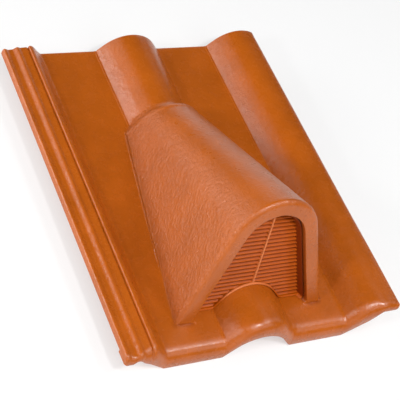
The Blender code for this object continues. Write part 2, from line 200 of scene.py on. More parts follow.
# %% [markdown]
# ## The tile's outline across the roof
#
# A press squeezes the wet concrete through one outline, so the tile has the same section all along: lock
# ribs on the left, a pan, a whole roll, a pan and a roll that covers the next tile. It could be drawn as a
# curve and swept. A table of heights is simpler, because the edges later need the height at any place, and
# one smoothing pass gives every crease its soft, sprayed look.

# %% Rolls
ROLL_PITCH = 152.0
ROLL_RISE = 26.0
ROLL_RADIUS = 42.0
ROLL_SLOPE = math.radians(50.0)
ROLL_ARC_STEPS = 24
CRISP_FOOT = 0.7
CRISP_FOOT_HEIGHT = 3.2
COVER_LIP = 19.0
LEFT_EDGE = -TILE_WIDTH / 2
RIGHT_EDGE = TILE_WIDTH / 2
COVER_ROLL_X = RIGHT_EDGE - COVER_LIP
ROLL_X = COVER_ROLL_X - ROLL_PITCH


def roll_half_width(rise, radius):
    flank_height = rise - radius * (1 - math.cos(ROLL_SLOPE))
    return radius * math.sin(ROLL_SLOPE) + flank_height / math.tan(ROLL_SLOPE)


def roll_points(centre, foot_z, apex, radius, last=ROLL_SLOPE, crisp_foot=0.0):
    """A roll: straight flanks at one slope and a round top between them. It may end at another angle, and a
    crisp left foot stands a little steeper."""
    half = roll_half_width(apex - foot_z, radius)
    points = [(centre - half + crisp_foot, foot_z)]
    if crisp_foot:
        points.append((centre - half + CRISP_FOOT_HEIGHT / math.tan(ROLL_SLOPE), foot_z + CRISP_FOOT_HEIGHT))
    upright = math.pi / 2
    points += arc(centre, apex - radius, radius, upright + ROLL_SLOPE, upright - last, ROLL_ARC_STEPS)
    if last == ROLL_SLOPE:
        points.append((centre + half, foot_z))
    return points


ROLL_HALF = roll_half_width(ROLL_RISE, ROLL_RADIUS)
print("rolls at", ROLL_X, "and", COVER_ROLL_X)

# %% [markdown]
# The lock ribs follow as distances from the left edge and heights. A thin line of gathered coating lies just
# before each roll's left foot. Creases are crisp, and softer where the spray pooled: right of the middle
# roll, near the eave.

# %% Lock ribs and the whole upper side
LOCK_POINTS = [
    (0.0, 8.4), (0.3, 9.8), (1.0, 10.9), (2.3, 11.4), (4.2, 10.9), (7.2, 9.4), (12.2, 9.6), (14.2, 11.3),
    (16.2, 13.1), (18.4, 13.1), (21.4, 11.9), (27.5, 12.3), (29.3, 12.5), (29.8, 11.0), (30.6, 11.0),
    (31.0, 14.0), (31.8, 14.4), (33.5, 14.4), (36.0, 13.5), (39.3, 10.2), (42.8, 6.2), (46.3, 2.6),
    (48.6, 0.8), (50.0, 0.0),
]
LOCK_FOOT = LEFT_EDGE + LOCK_POINTS[-1][0]
RIBS_END = LEFT_EDGE + 34.0
FOOT_BEAD = [(-2.4, 0.0), (-1.6, 0.7), (-0.9, 0.7), (-0.4, 0.0)]
COVER_ARC_INSET = 1.0
COVER_EDGE_HEIGHT = 20.8
CREASE_SOFTNESS = 0.45
RIB_SOFTNESS = 0.25
EAVE_SOFTNESS = 2.8
EAVE_MOST = 1.2
EAVE_BLEND = 12.0
EAVE_FADE = (75.0, 150.0)
SAMPLE = 0.2


def upper_points():
    points = [(LEFT_EDGE + x, z) for x, z in LOCK_POINTS]
    cover_end = math.asin((COVER_LIP - COVER_ARC_INSET) / ROLL_RADIUS)
    for centre, last in ((ROLL_X, ROLL_SLOPE), (COVER_ROLL_X, cover_end)):
        roll = roll_points(centre, 0.0, ROLL_RISE, ROLL_RADIUS, last, CRISP_FOOT)
        points += [(roll[0][0] + x, z) for x, z in FOOT_BEAD] + roll
    return points + [(RIGHT_EDGE, COVER_EDGE_HEIGHT)]


def softened(points, softness):
    """Heights of an outline at fine steps, with its creases rounded by a running average."""
    places = np.arange(LEFT_EDGE, RIGHT_EDGE + SAMPLE / 2, SAMPLE)
    heights = np.interp(places, *zip(*points))
    reach = int(3 * softness / SAMPLE)
    bell = np.exp(-0.5 * (np.arange(-reach, reach + 1) * SAMPLE / softness) ** 2)
    padded = np.pad(heights, reach, mode="edge")
    return places, np.convolve(padded, bell / bell.sum(), mode="valid")


def upper_heights():
    """Places across the tile with the heights of the upper side, on most of its length and at the eave."""
    points = upper_points()
    places, heights = softened(points, CREASE_SOFTNESS)
    heights = np.where(places < RIBS_END, softened(points, RIB_SOFTNESS)[1], heights)
    filled = np.minimum(softened(points, EAVE_SOFTNESS)[1], heights + EAVE_MOST)
    right_of_roll = np.clip((places - ROLL_X + EAVE_BLEND) / (2 * EAVE_BLEND), 0.0, 1.0)
    return places, heights, mix(heights, filled, right_of_roll)


UPPER_X, UPPER_Z, EAVE_Z = upper_heights()


def deck_height(x, y=TILE_LENGTH):
    """Height of the tile's upper side, away from the hood."""
    fade_start, fade_end = EAVE_FADE
    eave = np.clip((fade_end - np.asarray(y, float)) / (fade_end - fade_start), 0.0, 1.0)
    return mix(np.interp(x, UPPER_X, UPPER_Z), np.interp(x, UPPER_X, EAVE_Z), eave)


print("upper side:", len(UPPER_X), "samples")

# %% [markdown]
# The front end is thicker: a skirt hangs down, with an arch under the roll and a rounded upper edge. Its
# lower outline is a second table, as distances from the left and the right edge. Between the two tables the
# tile is lofted, with narrow steps where the front edge rounds over. Across the tile, a stretch is its start
# and the step from there on.

# %% Lower outline of the front skirt
SHELF_Z = -0.2
LOCK_SKIRT = [(0.0, SHELF_Z), (9.5, SHELF_Z), (13.4, 3.8), (17.3, 3.8), (22.5, -1.2), (32.1, -6.9)]
COVER_SKIRT = [(33.0, SHELF_Z), (20.5, 15.3), (3.7, 15.3), (0.0, 17.0)]
ARCH_THICK = 18.5
ARCH_RADIUS = 38.0
SKIRT_SOFTNESS = 0.7
SKIRT_POINTS = [
    *[(LEFT_EDGE + x, z) for x, z in LOCK_SKIRT],
    (LOCK_FOOT, -SKIRT_DROP),
    *roll_points(ROLL_X, -SKIRT_DROP, ROLL_RISE - ARCH_THICK, ARCH_RADIUS),
    (COVER_ROLL_X - ROLL_HALF, -SKIRT_DROP),
    *[(RIGHT_EDGE - x, z) for x, z in COVER_SKIRT],
]
SKIRT_X, SKIRT_Z = softened(SKIRT_POINTS, SKIRT_SOFTNESS)
print("skirt:", len(SKIRT_POINTS), "points")

# %% Loft the tile's deck
NOSE_RADIUS = 14.5
NOSE_SHARE = 0.70
NOSE_STEPS = 14
SKIRT_EDGE = 1.2
SKIRT_EDGE_SHARE = 0.2
CORNER_RADIUS = 3.5
HEAD_EDGE = 1.0
HEAD_STEPS = 4
ROW_STEP = 5.5
LOCK_STRETCHES = [(0.0, 0.5), (2.0, 1.0), (29.0, 0.25), (33.0, 1.1)]
EDGE_STEP, CREASE_STEP, ROLL_STEP, PAN_STEP = 0.5, 0.45, 1.7, 4.5
EDGE_ZONE, CREASE_ZONE, FOOT_MARGIN = 2.0, 4.5, 3.0


def deck_columns():
    """Places across the tile: close together on ribs and creases, further apart on the flat pans."""
    stretches = [(LEFT_EDGE + x, step) for x, step in LOCK_STRETCHES]
    pan_start = LOCK_FOOT + FOOT_MARGIN
    for centre in (ROLL_X, COVER_ROLL_X):
        foot = centre - ROLL_HALF - FOOT_MARGIN
        stretches += [(pan_start, PAN_STEP), (foot, CREASE_STEP), (foot + CREASE_ZONE, ROLL_STEP)]
        pan_start = centre + ROLL_HALF + FOOT_MARGIN
    stretches += [(RIGHT_EDGE - EDGE_ZONE, EDGE_STEP), (RIGHT_EDGE, 0)]
    places = []
    for (start, step), (end, _next_step) in zip(stretches, stretches[1:]):
        places += spaced(start, end, step)
    return np.array(places + [RIGHT_EDGE])


def section(x, upper_y, upper_z, lower_y, lower_z):
    """A ring across the tile: out along the upper side and back along the lower one."""
    upper = np.column_stack([x, np.broadcast_to(upper_y, x.shape), upper_z])
    lower = np.column_stack([x, np.broadcast_to(lower_y, x.shape), lower_z])
    return np.concatenate([upper, lower[::-1]])


def deck_rings():
    x = deck_columns()
    high, low = deck_height(x, 0.0), np.interp(x, SKIRT_X, SKIRT_Z)
    nose = np.minimum(NOSE_RADIUS, NOSE_SHARE * (high - low))
    edge = np.minimum(SKIRT_EDGE, SKIRT_EDGE_SHARE * (high - low))
    corner = worn(np.minimum(x - LEFT_EDGE, RIGHT_EDGE - x), CORNER_RADIUS)
    rings = []
    for step, angle in enumerate(quarter_turn(NOSE_STEPS)):
        back = corner * (1 - step / NOSE_STEPS)
        upper_y = nose * (1 - math.cos(angle)) + back
        upper_z = high - nose * (1 - math.sin(angle))
        lower_y = NOSE_RADIUS * (1 - math.cos(angle))
        rings.append(section(x, upper_y, upper_z, lower_y + back, low + worn(lower_y, edge)))
    straight = spaced(NOSE_RADIUS, TILE_LENGTH - HEAD_EDGE, ROW_STEP)[1:]
    head = [TILE_LENGTH - HEAD_EDGE * (1 - math.sin(angle)) for angle in quarter_turn(HEAD_STEPS)]
    for y in straight + head:
        drop = float(worn(TILE_LENGTH - y, HEAD_EDGE))
        rings.append(section(x, y, deck_height(x, y) - drop, y, low))
    return rings


tile = loft("vent_tile_cast", deck_rings())
print("deck blank:", len(tile.data.polygons), "faces")

# %% [markdown]
# ## The hood
#
# The hood is a half cone with straight flanks that lean in and a round top. Its front is cut by a plane
# that leans back, its rim is rounded, and its tail sinks into the roll. A cone primitive would miss the
# straight flanks, so sections are worked out from mouth to tail and lofted, as a boat's hull is.

# %% Sizes of a section
MOUTH_Y = 35.5
MOUTH_LEAN = math.tan(math.radians(15.0))
HOOD_RUN = 252.5
TAIL_Y = MOUTH_Y + HOOD_RUN
CONE_HALF, CONE_HEIGHT, CONE_TOP_RADIUS = (91.5, 45.0), (144.0, 45.5), (56.0, 42.0)
CREST_BULGE = 10.0
HOOD_WALL = 18.2
HOOD_X = ROLL_X + 1.2
RIM_ROUND = 7.0
TAIL_CAP = 19.0


def cone_size(share):
    """Half width, height and top radius of a plain cone, at a share of the way from mouth to tail."""
    return [mix(*ends, share) for ends in (CONE_HALF, CONE_HEIGHT, CONE_TOP_RADIUS)]


def hood_size(share, inset=0.0, spread=0.0):
    """The hood's half width, height, top radius and flank lean: a cone whose crest bulges a little."""
    half, height, radius = cone_size(share)
    half += spread
    height += CREST_BULGE * share * (1 - share)
    lean = math.atan2(half, height - radius) - math.asin(radius / math.hypot(half, height - radius))
    return half - inset / math.cos(lean), height - inset, radius - inset, lean


def plane_y(distance, z):
    """Where a leaning section stands at a height: like the mouth at the front, upright at the tail."""
    share = distance / HOOD_RUN
    return mix(MOUTH_Y, TAIL_Y, share) + MOUTH_LEAN * (1 - share) * z


def topped(points, height, radius, lean, flank_steps, arc_steps):
    """Carries a right half on from its foot, along the flank and round the top."""
    top = arc(0.0, height - radius, radius, lean, math.pi / 2, arc_steps)
    flank = np.linspace(points[-1], top[0], flank_steps, endpoint=False)[1:]
    return points + flank.tolist() + top


def both_halves(right_half, distance, further=0.0):
    """A whole section from its right half of (x, z) points, set in its leaning plane."""
    points = np.array(list(right_half) + [(-x, z) for x, z in reversed(right_half[:-1])])
    y = plane_y(distance, points[:, 1]) + further
    return np.column_stack([HOOD_X + points[:, 0], y, points[:, 1]])


print("hood:", HOOD_RUN, "mm long")

# %% [markdown]
# The flanks stand a little further out at their foot than the cone would, more so towards the tail. The
# coating has gathered along that foot in a thin raised bead with a groove behind it, which dies out towards
# the mouth. Above the bead, a small hollow flare leads up into the flank.

# %% Outside of the hood
FLANK_STEPS = 44
ARC_STEPS = 40
RIM_STEPS = 10
CONE_STEP = 1.9
FLARE = 1.8
FLARE_STEPS = 8
FLARE_START = -math.pi / 2 - math.radians(8)
FLARE_AT_RIM = 0.2
FLARE_GROWN = RIM_ROUND + 7.0
SPREAD_PLACES = [0.0, 21.0, 80.0, 117.0, 240.0]
SPREADS = [0.3, 1.0, 1.6, 2.6, 5.2]
NO_BEAD = [(0.6, -4.0), (0.5, -1.2), (0.4, -0.9), (0.3, -0.7), (0.2, -0.5), (0.1, -0.3), (0.0, -0.15)]
BEAD = [(2.6, -4.0), (2.5, -0.6), (2.3, 0.2), (1.8, 0.9), (1.3, 1.4), (0.8, 1.5), (0.3, 1.0)]
BEAD_LIFT = 0.6
BEAD_GROWS = (55.0, 140.0)


def outer_half(distance, inset, bead):
    """Right half of a section: a foot with a share of the bead, the flare, the flank and the round top."""
    spread = float(np.interp(distance, SPREAD_PLACES, SPREADS))
    half, height, radius, lean = hood_size(distance / HOOD_RUN, inset, spread)
    grown = math.sin(math.pi / 2 * min(1.0, distance / FLARE_GROWN))
    flare = FLARE * mix(FLARE_AT_RIM, 1.0, grown)
    foot_x = half + flare * (1 / math.cos(lean) - math.tan(lean))
    points = []
    for (plain_x, plain_z), (full_x, full_z) in zip(NO_BEAD, BEAD):
        points.append((foot_x + mix(plain_x, full_x, bead), mix(plain_z, full_z, bead)))
    for step, (x, z) in enumerate(arc(foot_x, flare, flare, FLARE_START, lean - math.pi, FLARE_STEPS)):
        points.append((x, z + BEAD_LIFT * bead * (1 - step / FLARE_STEPS)))
    return topped(points, height, radius, lean, FLANK_STEPS, ARC_STEPS)


def cone_rings():
    """Sections round the rim, where they shrink towards the mouth's plane, and then down the cone."""
    places = []
    for angle in quarter_turn(RIM_STEPS):
        places.append((RIM_ROUND * (1 - math.cos(angle)), RIM_ROUND * (1 - math.sin(angle))))
    places += [(distance, 0.0) for distance in spaced(RIM_ROUND, HOOD_RUN, CONE_STEP)[1:] + [HOOD_RUN]]
    rings = []
    for distance, inset in places:
        bead = float(np.interp(distance, BEAD_GROWS, (0.0, 1.0)))
        rings.append(both_halves(outer_half(distance, inset, bead), distance))
    return rings


# %% [markdown]
# The tail has to flow into the roll. A ball rolled along the corner between two surfaces leaves a hollow
# curve that touches both. Each tail point near the roll is pushed along its own normal by what that ball
# would leave, which depends on its distance along the tail and on the angle between the two surfaces.

# %% Tail that runs into the roll
TAIL_JOINT = 13.0
TAIL_BEAD_END = math.radians(36)
TAIL_END = math.radians(67)
TAIL_COARSE, TAIL_FINE = math.radians(4), math.radians(1.3)
TAIL_NARROWING = 0.6
INSIDE_TAIL = np.array([HOOD_X, TAIL_Y - 40.0])
JOINT_FADE = 5.0
LEAST_SINE = 0.2


def tail_rings():
    """Sections that shrink round the tail's cap."""
    rings = []
    angles = spaced(0.0, TAIL_BEAD_END, TAIL_COARSE)[1:] + spaced(TAIL_BEAD_END, TAIL_END, TAIL_FINE)
    for angle in angles + [TAIL_END]:
        low = math.cos(angle)
        narrow = low**TAIL_NARROWING
        half = outer_half(HOOD_RUN, 0.0, max(0.0, 1 - angle / TAIL_BEAD_END))
        shrunk = [(x * narrow, z * low if z > 0 else z) for x, z in half]
        rings.append(both_halves(shrunk, HOOD_RUN, TAIL_CAP * math.sin(angle)))
    return rings


def joined_to_roll(rings):
    grid = np.array(rings)
    normal = np.cross(np.gradient(grid, axis=0), np.gradient(grid, axis=1))
    outward = np.sum(normal[:, :, :2] * (grid[:, :, :2] - INSIDE_TAIL), axis=2, keepdims=True)
    normal *= np.sign(outward) / np.maximum(np.linalg.norm(normal, axis=2, keepdims=True), 1e-9)
    roll = deck_height(grid[:, :, 0])
    slope = np.interp(grid[:, :, 0], UPPER_X, np.gradient(UPPER_Z, UPPER_X))
    roll_normal = np.stack([-slope, np.zeros_like(slope), np.ones_like(slope)], axis=2)
    roll_normal /= np.hypot(1, slope)[:, :, None]
    corner = np.arccos(np.clip(np.sum(normal * roll_normal, axis=2), -1, 1))
    along_tail = (grid[:, :, 2] - roll) / np.hypot(1, slope) / np.maximum(np.sin(corner), LEAST_SINE)
    inside = np.clip(TAIL_JOINT * np.tan(corner / 2) - along_tail, 0.0, TAIL_JOINT * np.sin(corner))
    push = TAIL_JOINT - np.sqrt(TAIL_JOINT**2 - inside**2)
    fade = np.clip(roll / JOINT_FADE, 0.0, 1.0) * np.clip((grid[:, :, 1] - TAIL_Y) / JOINT_FADE, 0.0, 1.0)
    return list(grid + normal * (push * fade)[:, :, None])


cone = cone_rings()
hood = loft("hood_outside", cone + joined_to_roll([cone[-1]] + tail_rings())[1:])
print("hood outside:", len(hood.data.polygons), "faces")

# %% Inside of the hood
INNER_FOOT = 4.0
INNER_FOOT_STEPS = 5
INNER_FLANK_STEPS = 12
INNER_ARC_STEPS = 24
INNER_LOWEST = -8.6
INNER_EDGE = 0.8
INNER_EDGE_STEPS = 5
INNER_END = HOOD_RUN - 20.0
INNER_STEP = 9.0
OVERSHOOT = 20.0


def hollow_ring(distance, inset):
    """A section of the hollow, or of what fits in it, with a rounded corner at its foot."""
    half, height, radius, lean = hood_size(distance / HOOD_RUN, HOOD_WALL + inset)
    foot_x = half - INNER_FOOT * (1 / math.cos(lean) + math.tan(lean))
    corner = arc(foot_x, INNER_FOOT, INNER_FOOT, -math.pi / 2, lean, INNER_FOOT_STEPS)
    points = [(foot_x, INNER_LOWEST), *corner]
    return both_halves(topped(points, height, radius, lean, INNER_FLANK_STEPS, INNER_ARC_STEPS), distance)


def cavity_rings():
    """The hollow, with a slightly rounded edge where it leaves through the mouth."""
    rings = [hollow_ring(-OVERSHOOT, -INNER_EDGE)]
    for step in range(INNER_EDGE_STEPS + 1):
        distance = INNER_EDGE * step / INNER_EDGE_STEPS
        rings.append(hollow_ring(distance, -float(worn(distance, INNER_EDGE))))
    further = spaced(INNER_EDGE, INNER_END, INNER_STEP)[1:] + [INNER_END]
    return rings + [hollow_ring(distance, 0.0) for distance in further]


combine(hood, [("DIFFERENCE", loft("hood_hollow", cavity_rings()))])
print("hood shell:", len(hood.data.polygons), "faces")

# %% [markdown]
# ## One cast piece
#
# The hood, the hollows under the rolls, the hanging nibs and the air duct are joined or cut with Booleans,
# so that the result is one closed skin, as the real casting is. Every part that goes in is a closed solid,
# which the manifold solver needs. It is quick, and it gives the same skin on every run.

# %% Underside, nibs and duct
DECK_THICK = 11.5
ROLL_THICK = 12.0
SKIRT_THICK = 18.0
LOCK_CLEARANCE = 0.4
LOCK_SHELF_WIDTH, LOCK_SHELF_Z = 16.0, 3.2
COVER_HOLLOW_END = RIGHT_EDGE - 38.0
COVER_SHELF_START, COVER_SHELF_Z = RIGHT_EDGE - 33.0, 16.5
NIB_HALF, NIB_DEPTH, NIB_SETBACK, NIB_TOP = 20.0, 18.0, 12.0, -6.0
DUCT_START, DUCT_END = MOUTH_Y + 70.0, MOUTH_Y + 185.0
DUCT_CORNER, DUCT_CORNER_STEPS, DUCT_MARGIN = 12.0, 6, 2.0


def underside_outline():
    """What is hollow below the tile, as (x, z) points: along its upper side and back below the tile."""
    apex, radius = ROLL_RISE - ROLL_THICK, ROLL_RADIUS - ROLL_THICK
    middle, cover = [roll_points(x, -DECK_THICK, apex, radius) for x in (ROLL_X, COVER_ROLL_X)]
    cover = [(x, z) for x, z in cover if x < COVER_HOLLOW_END]
    lock = SKIRT_X < LOCK_FOOT
    left = float(np.interp(DECK_THICK, -SKIRT_Z[lock], SKIRT_X[lock])) + LOCK_CLEARANCE
    shelf = [(COVER_SHELF_START, COVER_SHELF_Z), (RIGHT_EDGE + OVERSHOOT, COVER_SHELF_Z)]
    top = [(left, -DECK_THICK), *middle, *cover, *shelf]
    return top + [(x, -SKIRT_DROP - OVERSHOOT) for x, _z in reversed(top)]


def nib(name, middle):
    back = TILE_LENGTH - NIB_SETBACK
    return block(name, (middle - NIB_HALF, back - NIB_DEPTH, -SKIRT_DROP), (middle + NIB_HALF, back, NIB_TOP))


def duct_rings():
    """An upright tube with rounded corners, as wide as the hollow leaves at its far end."""
    half, _height, _radius, lean = hood_size((DUCT_END - MOUTH_Y) / HOOD_RUN, HOOD_WALL)
    wide = half - ROLL_RISE * math.tan(lean) - DUCT_MARGIN - DUCT_CORNER
    right = []
    for centre_y, start in ((DUCT_START + DUCT_CORNER, -math.pi / 2), (DUCT_END - DUCT_CORNER, 0.0)):
        right += arc(wide, centre_y, DUCT_CORNER, start, start + math.pi / 2, DUCT_CORNER_STEPS)
    ring = [(HOOD_X + x, y) for x, y in right] + [(HOOD_X - x, y) for x, y in reversed(right)]
    heights = (-SKIRT_DROP - OVERSHOOT, ROLL_RISE + DUCT_MARGIN)
    return [np.array([(x, y, z) for x, y in ring]) for z in heights]


cut_end = TILE_LENGTH + OVERSHOOT
shelf_low = (LEFT_EDGE - OVERSHOOT, SKIRT_THICK, -SKIRT_DROP)
shelf_high = (LEFT_EDGE + LOCK_SHELF_WIDTH, cut_end, LOCK_SHELF_Z)
combine(tile, [
    ("UNION", hood),
    ("DIFFERENCE", prism("underside", underside_outline(), SKIRT_THICK, cut_end)),
    ("DIFFERENCE", block("under_shelf", shelf_low, shelf_high)),
    ("UNION", nib("nib_left", mix(LOCK_FOOT, ROLL_X - ROLL_HALF, 0.5))),
    ("UNION", nib("nib_right", mix(ROLL_X, COVER_ROLL_X, 0.5))),
    ("DIFFERENCE", loft("duct", duct_rings())),
])
print("one casting:", len(tile.data.polygons), "faces")

# %% Soften the joint of tail and roll
JOINT_ROUNDS = 10
JOINT_LOWEST = 1.5
JOINT_HALF = 46.0
JOINT_ABOVE = (-1.0, 9.0)
JOINT_Y = (TAIL_Y + 2.0, TAIL_Y + TAIL_CAP + 8.0)


def soften(mesh, rounds, chosen):
    """Evens out the chosen points of a mesh, each towards the middle of its neighbours."""
    shape = bmesh.new()
    shape.from_mesh(mesh)
    shape.verts.ensure_lookup_table()
    near = [shape.verts[index] for index in np.nonzero(chosen)[0]]
    along = {"use_axis_x": True, "use_axis_y": True, "use_axis_z": True}
    for _round in range(rounds):
        bmesh.ops.smooth_vert(shape, verts=near, factor=0.5, **along)
    shape.to_mesh(mesh)
    shape.free()
    return len(near)


x, y, z = mesh_points(tile.data).T
at_joint = within(z - deck_height(x), *JOINT_ABOVE) & within(y, *JOINT_Y)
at_joint &= (z > JOINT_LOWEST) & (abs(x - HOOD_X) < JOINT_HALF)
print("joint softened at", soften(tile.data, JOINT_ROUNDS, at_joint), "points")

# %% [markdown]
# ## Grain of the cast
#
# Concrete pressed in a mould and then sprayed has a grain like orange peel. It is strongest on the hood,
# which was cast by hand, and weak on the pans, which a roller smoothed. Each point is first given how much
# grain it has and how much painted shade it gets. A small node tree then sinks the points by a noise times
# the grain, only ever inwards, so the size stays.

# %% How much grain each point has
GRAIN_HOOD_SIDE, GRAIN_HOOD_TOP, GRAIN_MOUTH, GRAIN_FLANK, GRAIN_PAN = 1.35, 0.5, 0.4, 0.42, 0.1
SIDE_TO_TOP_ANGLE = (25.0, 65.0)
PAN_TO_FLANK_SLOPE = (0.1, 0.8)
HOOD_ABOVE = 0.4
HOOD_Y = (MOUTH_Y - 2.0, TAIL_Y + TAIL_CAP + 10.0)
MOUTH_FACE = 2.0
UNDERSIDE_ABOVE = -1.5


def hood_share(y, z):
    """How far along the hood a point lies: 0 in the mouth's leaning plane and 1 at the tail."""
    return np.clip((y - MOUTH_Y - MOUTH_LEAN * z) / (HOOD_RUN - MOUTH_LEAN * z), 0.0, 1.0)


def grain_weights(points):
    x, y, z = points.T
    share, above = hood_share(y, z), z - deck_height(x, y)
    steepness = np.interp(x, UPPER_X, np.abs(np.gradient(UPPER_Z, UPPER_X)))
    weight = np.interp(steepness, PAN_TO_FLANK_SLOPE, (GRAIN_PAN, GRAIN_FLANK))
    _half, height, radius = cone_size(share)
    turn = np.degrees(np.arctan2(z - height + radius, np.abs(x - HOOD_X)))
    on_hood = np.interp(turn, SIDE_TO_TOP_ANGLE, (GRAIN_HOOD_SIDE, GRAIN_HOOD_TOP))
    on_hood = np.where(share * HOOD_RUN < MOUTH_FACE, GRAIN_MOUTH, on_hood)
    weight = np.where((above > HOOD_ABOVE) & within(y, *HOOD_Y), on_hood, weight)
    return np.where((above < UNDERSIDE_ABOVE) & (y > NOSE_RADIUS), 0.0, weight)


cast_points = mesh_points(tile.data)
store(tile.data, "grain", grain_weights(cast_points))
print("grain given to", len(cast_points), "points")

# %% Painted shade in the hood and under its front edge
INNER_DEPTH = 0.6 * HOOD_WALL
INNER_START = 1.0
INNER_ABOVE = 1.0
CORNER_SHADE = 0.5
CORNER_HEIGHT = 0.35
CORNER_DEPTH = (-1.0, HOOD_WALL + 1.0)
CORNER_AHEAD = (-0.6, 9.0)
CORNER_EDGE = 1.2


def depth_in_hood(x, z, share):
    """How far a point lies inside the cone's outer face."""
    half, height, radius = cone_size(share)
    across, rise, lean = np.abs(x - HOOD_X), z - height + radius, hood_size(0.0)[3]
    in_flank = (half - across) * math.cos(lean) - z * math.sin(lean)
    return np.where(rise > across * math.tan(lean), radius - np.hypot(across, rise), in_flank)


def painted_shade(points):
    """Painted shade: 1 on the hood's inner wall, which the hood shades, a part of it in the corner under the
    hood's front edge, 0 elsewhere.
    """
    x, y, z = points.T
    share, above = hood_share(y, z), z - deck_height(x, y)
    depth, ahead = depth_in_hood(x, z, share), y - plane_y(0.0, z)
    inner = (depth > INNER_DEPTH) & (above > INNER_ABOVE) & within(share * HOOD_RUN, INNER_START, HOOD_RUN)
    corner = (np.abs(above) < CORNER_HEIGHT) & within(depth, *CORNER_DEPTH) & within(ahead, *CORNER_AHEAD)
    corner &= (depth < CORNER_EDGE) | (ahead < CORNER_EDGE)
    return np.maximum(inner, CORNER_SHADE * corner)


# Painted shade, stored for each point of the casting.
shade_values = painted_shade(cast_points)
store(tile.data, "painted_shade", shade_values)
print("short of coating:", np.count_nonzero(shade_values), "points")


# %% One function that adds a node, and short forms of it
def fill(tree, node, inputs):
    """Gives each input a value, or links it from another node's output."""
    for name, value in inputs.items():
        if isinstance(value, bpy.types.NodeSocket):
            tree.links.new(value, node.inputs[name])
        else:
            node.inputs[name].default_value = value


def add_node(tree, kind, inputs=None, **settings):
    node = tree.nodes.new(kind)
    for name, value in settings.items():
        setattr(node, name, value)
    fill(tree, node, inputs or {})
    return node


def maths(tree, operation, *values):
    """One step of a calculation, for meshes and materials alike."""
    return add_node(tree, "ShaderNodeMath", dict(enumerate(values)), operation=operation).outputs[0]


def noise(tree, place, scale, detail, roughness=0.5):
    inputs = {"Vector": place, "Scale": scale, "Detail": detail, "Roughness": roughness}
    return add_node(tree, "ShaderNodeTexNoise", inputs).outputs["Fac"]


# %% Geometry Nodes trees, built and run
def shape_tree(name, sizes):
    """A tree that a mesh, named sizes and a material go into, and that a mesh comes out of."""
    tree = bpy.data.node_groups.new(name, "GeometryNodeTree")
    kinds = {"Geometry": "NodeSocketGeometry", **dict.fromkeys(sizes, "NodeSocketFloat")}
    for socket, kind in {**kinds, "Material": "NodeSocketMaterial"}.items():
        tree.interface.new_socket(socket, in_out="INPUT", socket_type=kind)
    tree.interface.new_socket("Geometry", in_out="OUTPUT", socket_type="NodeSocketGeometry")
    return tree, tree.nodes.new("NodeGroupInput").outputs


def point_value(tree, name):
    """A value that was stored at each point."""
    node = add_node(tree, "GeometryNodeInputNamedAttribute", {"Name": name}, data_type="FLOAT")
    return node.outputs["Attribute"]


def hand_out(tree, geometry, material):
    """Ends a tree: copies become real, the material is set and the mesh comes out."""
    real = add_node(tree, "GeometryNodeRealizeInstances", {"Geometry": geometry}).outputs["Geometry"]
    dressed = add_node(tree, "GeometryNodeSetMaterial", {"Geometry": real, "Material": material})
    add_node(tree, "NodeGroupOutput", {"Geometry": dressed.outputs["Geometry"]})


def shape_with(target, tree, values):
    """Runs a tree on an object and keeps what it makes as a plain mesh."""
    modifier = target.modifiers.new(tree.name, "NODES")
    modifier.node_group = tree
    sockets = {item.name: item.identifier for item in tree.interface.items_tree if item.in_out == "INPUT"}
    for name, value in values.items():
        modifier[sockets[name]] = value
    keep_evaluated(target)


# %% [markdown]
# ## Materials
#
# Two finishes: sprayed concrete and moulded polypropylene. Every pattern reads Object coordinates, which are
# the real metres of the shared frame, so a feature of 3 mm needs a noise scale of 1 / 0.003.

# %% Colour and pattern helpers
def linear(hex_colour):
    """An sRGB hex colour as linear RGBA."""
    channels = [int(hex_colour[index:index + 2], 16) / 255 for index in (1, 3, 5)]
    return (*[c / 12.92 if c <= 0.04045 else ((c + 0.055) / 1.055) ** 2.4 for c in channels], 1.0)


def per_feature(size_mm):
    """Noise scale for a feature of this size."""
    return 1 / (size_mm * MM)


def new_material(name):
    material = bpy.data.materials.new(name)
    material.use_nodes = True
    tree = material.node_tree
    return material, tree, tree.nodes["Principled BSDF"]


def surface_value(tree, name):
    """A value that was stored at each point, as a material reads it."""
    return add_node(tree, "ShaderNodeAttribute", attribute_name=name).outputs["Fac"]


def ramp(tree, value, stops):
    """A colour ramp through (place, hex colour) pairs."""
    node = add_node(tree, "ShaderNodeValToRGB", {"Fac": value})
    elements = node.color_ramp.elements
    while len(elements) < len(stops):
        elements.new(0.5)
    for element, (place, colour) in zip(elements, stops):
        element.position = place
        element.color = linear(colour)
    return node.outputs["Color"]


def blend(tree, share, colour, other_hex):
    """One colour where the share is 0, and another where it is 1."""
    inputs = {"Factor": share, "A": colour, "B": linear(other_hex)}
    return add_node(tree, "ShaderNodeMix", inputs, data_type="RGBA").outputs["Result"]


def band(tree, value, source, target):
    """Carries the values of one range over to another."""
    ends = dict(zip(("From Min", "From Max", "To Min", "To Max"), (*source, *target)))
    return add_node(tree, "ShaderNodeMapRange", {"Value": value, **ends}).outputs["Result"]


def relief(tree, height, strength, height_mm):
    inputs = {"Height": height, "Strength": strength, "Distance": height_mm * MM}
    return add_node(tree, "ShaderNodeBump", inputs).outputs["Normal"]


# %% Sprayed concrete
# An acrylic coating over grey concrete, sprayed while wet: satin, evenly orange, with soft cloudy mottling
# where the film is thicker, and a fine grain that breaks up the sheen. Its dimples are drawn out along a
# slanting line.
CLOUD_SIZE, SPECK_SIZE, FILM_SIZE, PEEL_SIZE, GRIT_SIZE = 38.0, 1.6, 9.0, 4.6, 0.9
PEEL_SLANT = math.radians(-32)
PEEL_STRETCH = (0.8, 0.8, 1.35)
PEEL_PART, GRIT_PART = 0.75, 0.25
SMOOTH_ROUGHNESS, GRAIN_ROUGHNESS = 0.25, 0.11
RELIEF_STRENGTH, RELIEF_HEIGHT = 0.8, 2.2

